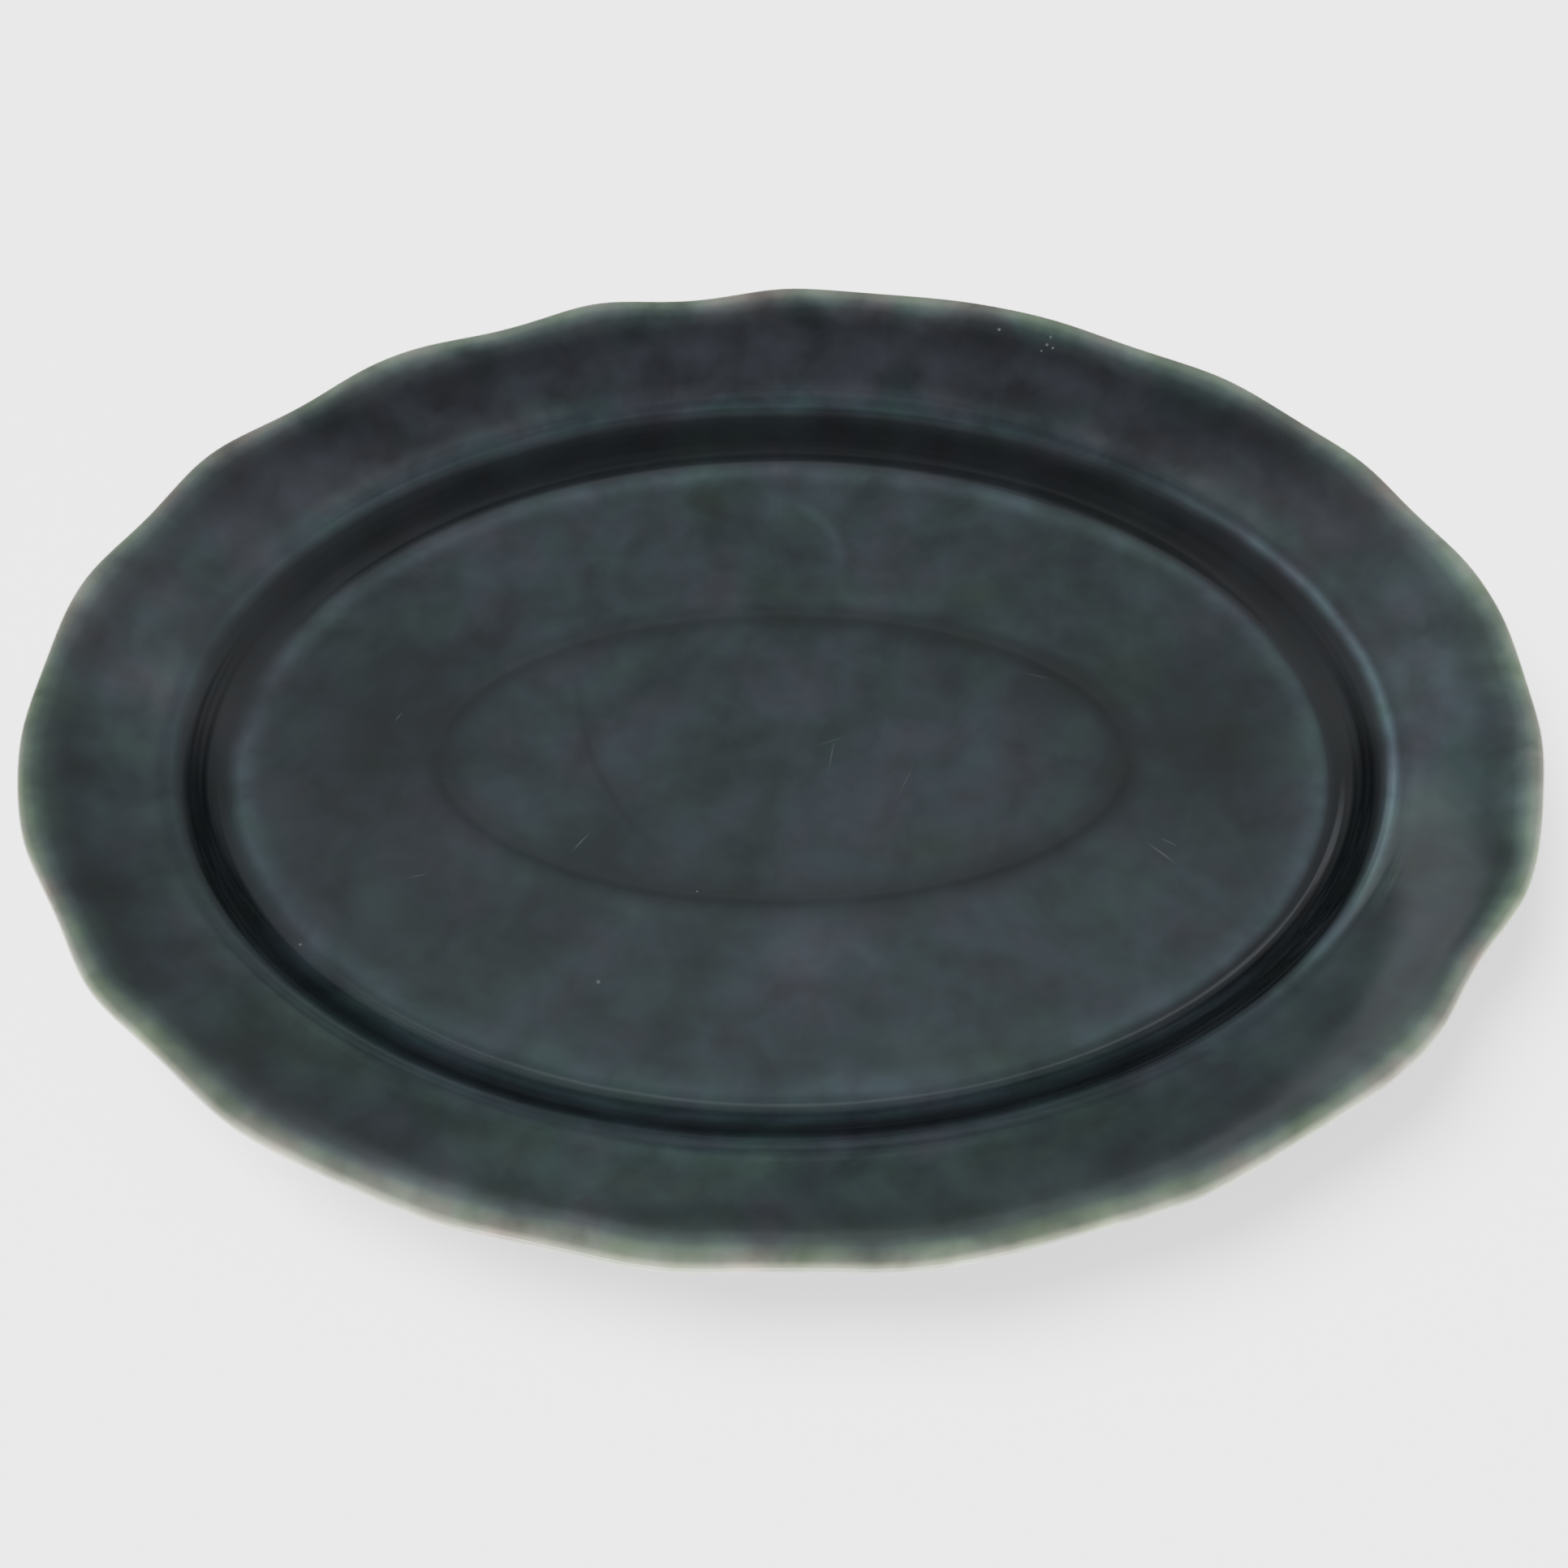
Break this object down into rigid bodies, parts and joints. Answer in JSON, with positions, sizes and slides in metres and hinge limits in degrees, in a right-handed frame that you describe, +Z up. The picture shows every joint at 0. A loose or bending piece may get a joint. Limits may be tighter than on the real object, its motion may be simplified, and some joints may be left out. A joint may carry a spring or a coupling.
{
  "type": "serving platter",
  "caption": "Oval china serving platter with a broad scalloped rim, a shallow well with a faint inner ring, two foot rings and a dark blue-green glaze that breaks pale at the lip",
  "frame": {"origin": "On the table under the middle of the platter: the centre of the bottom of its box, in the plane of the foot ring's bearing face", "axes": "+X along the length of the oval, +Y across its width, +Z up out of the well"},
  "size_m": [0.3548, 0.2662, 0.0301],
  "materials": {
    "fired_clay": "matte",
    "slate_glaze": "polished",
    "lip_glaze": "polished"
  },
  "bodies": {
    "root": {"platter_body": "fired_clay", "foot_ring": "fired_clay", "support_ring": "fired_clay", "face_glaze": "slate_glaze", "lip_glaze": "lip_glaze", "underside_glaze": "slate_glaze", "foot_well_glaze": "slate_glaze", "centre_glaze": "slate_glaze"}
  },
  "joints": []
}
